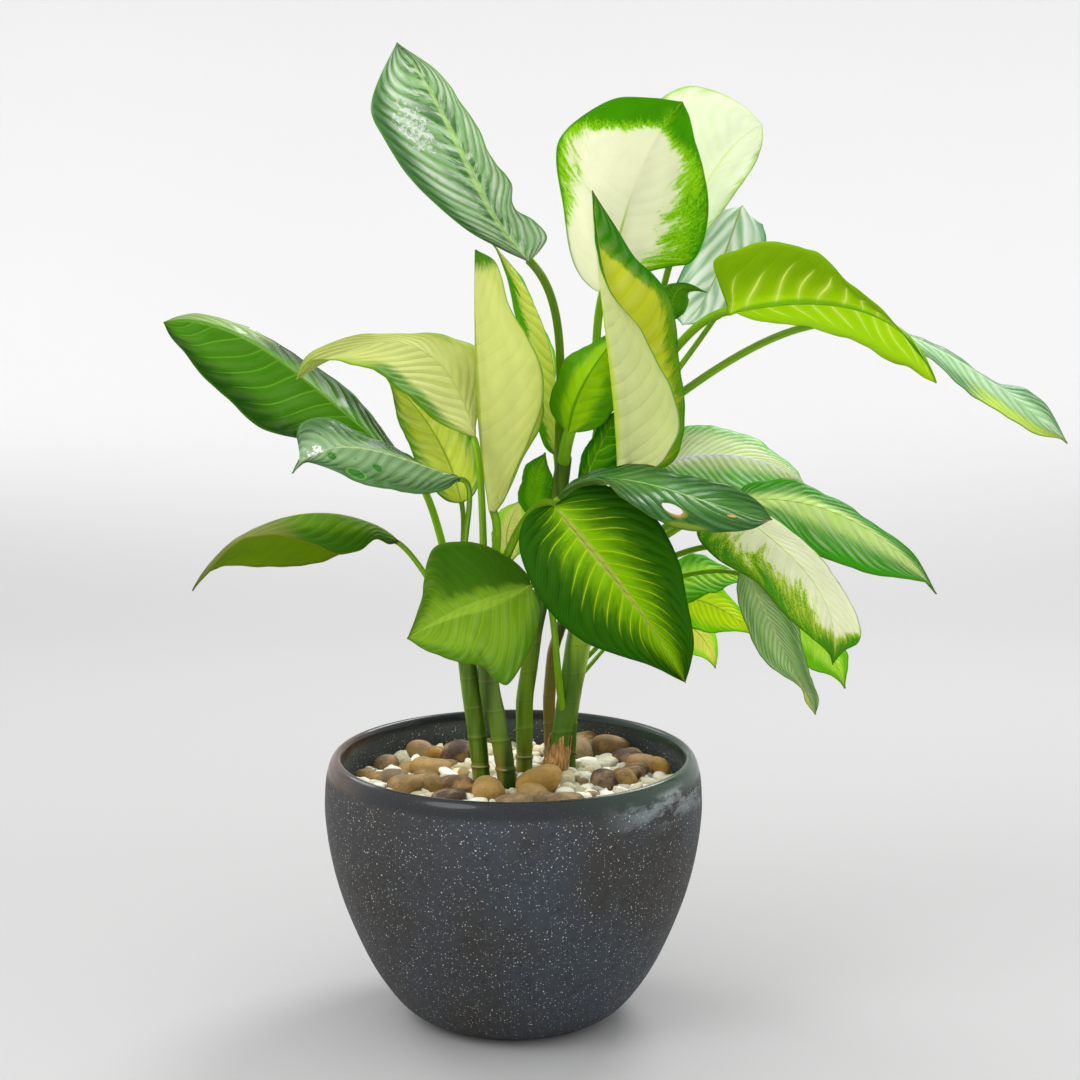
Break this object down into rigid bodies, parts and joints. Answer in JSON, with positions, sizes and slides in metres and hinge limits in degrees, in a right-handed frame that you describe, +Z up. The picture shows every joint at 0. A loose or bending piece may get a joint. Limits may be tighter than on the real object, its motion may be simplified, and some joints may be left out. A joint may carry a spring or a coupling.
{
  "type": "potted dieffenbachia",
  "caption": "House plant with broad variegated green and cream leaves on upright canes, in a round glazed pot topped with pebbles.",
  "frame": {"origin": "centre of the pot's base, on the surface it stands on", "axes": "+Z up, X left to right across the widest spread of leaves, -Y towards the viewer"},
  "size_m": [0.6732, 0.2931, 0.7291],
  "materials": {
    "glaze": "dark blue-grey speckled gloss glaze",
    "soil": "dark crumbly potting soil",
    "gravel": "pale matt gravel",
    "pebble": "tan and brown water-worn pebbles",
    "cane": "green waxy stem with ring scars",
    "brown_cane": "dry brown stem",
    "dry_leaf": "dry brown papery leaf base",
    "leaf_dark": "dark green satin leaf with pale veins",
    "leaf_mid": "mid green satin leaf",
    "leaf_yellow": "yellow-green translucent leaf",
    "leaf_pale": "pale green leaf with a drawn-out green margin",
    "leaf_cream": "cream leaf with a feathered green margin"
  },
  "bodies": {
    "root": {"pot": "glaze", "potting_soil": "soil", "gravel": "gravel", "pebbles_left": "pebble", "pebbles_front": "pebble", "pebbles_back": "pebble", "cane_far_left": "cane", "cane_left": "cane", "cane_centre": "cane", "cane_brown": "brown_cane", "cane_main": "cane", "cane_rear": "cane", "dry_sheath": "dry_leaf", "leaf_crown_left": "leaf_pale", "leaf_crown_left_rear": "leaf_yellow", "leaf_upright_left": "leaf_pale", "leaf_arching_left": "leaf_pale", "leaf_striped_left": "leaf_yellow", "leaf_far_left": "leaf_dark", "leaf_glossy_left": "leaf_mid", "leaf_low_left": "leaf_dark", "leaf_front_left": "leaf_dark", "leaf_front_centre": "leaf_dark", "leaf_front_right": "leaf_dark", "leaf_rolled_centre": "leaf_yellow", "leaf_crown_cream": "leaf_cream", "leaf_crown_rear": "leaf_cream", "leaf_crown_hanging": "leaf_pale", "leaf_crown_small": "leaf_pale", "leaf_right_upper": "leaf_yellow", "leaf_far_right": "leaf_mid", "leaf_right_ribbed": "leaf_mid", "leaf_right_bright": "leaf_mid", "leaf_right_cream": "leaf_cream", "leaf_right_hanging": "leaf_mid", "leaf_right_low_rear": "leaf_mid", "leaf_rear_dark": "leaf_dark", "leaf_rear_yellow": "leaf_yellow", "leaf_rear_low": "leaf_mid", "leaf_mid_underside": "leaf_yellow", "leaf_mid_folded": "leaf_dark", "leaf_mid_small": "leaf_dark", "leaf_mid_pale": "leaf_mid"}
  },
  "joints": []
}
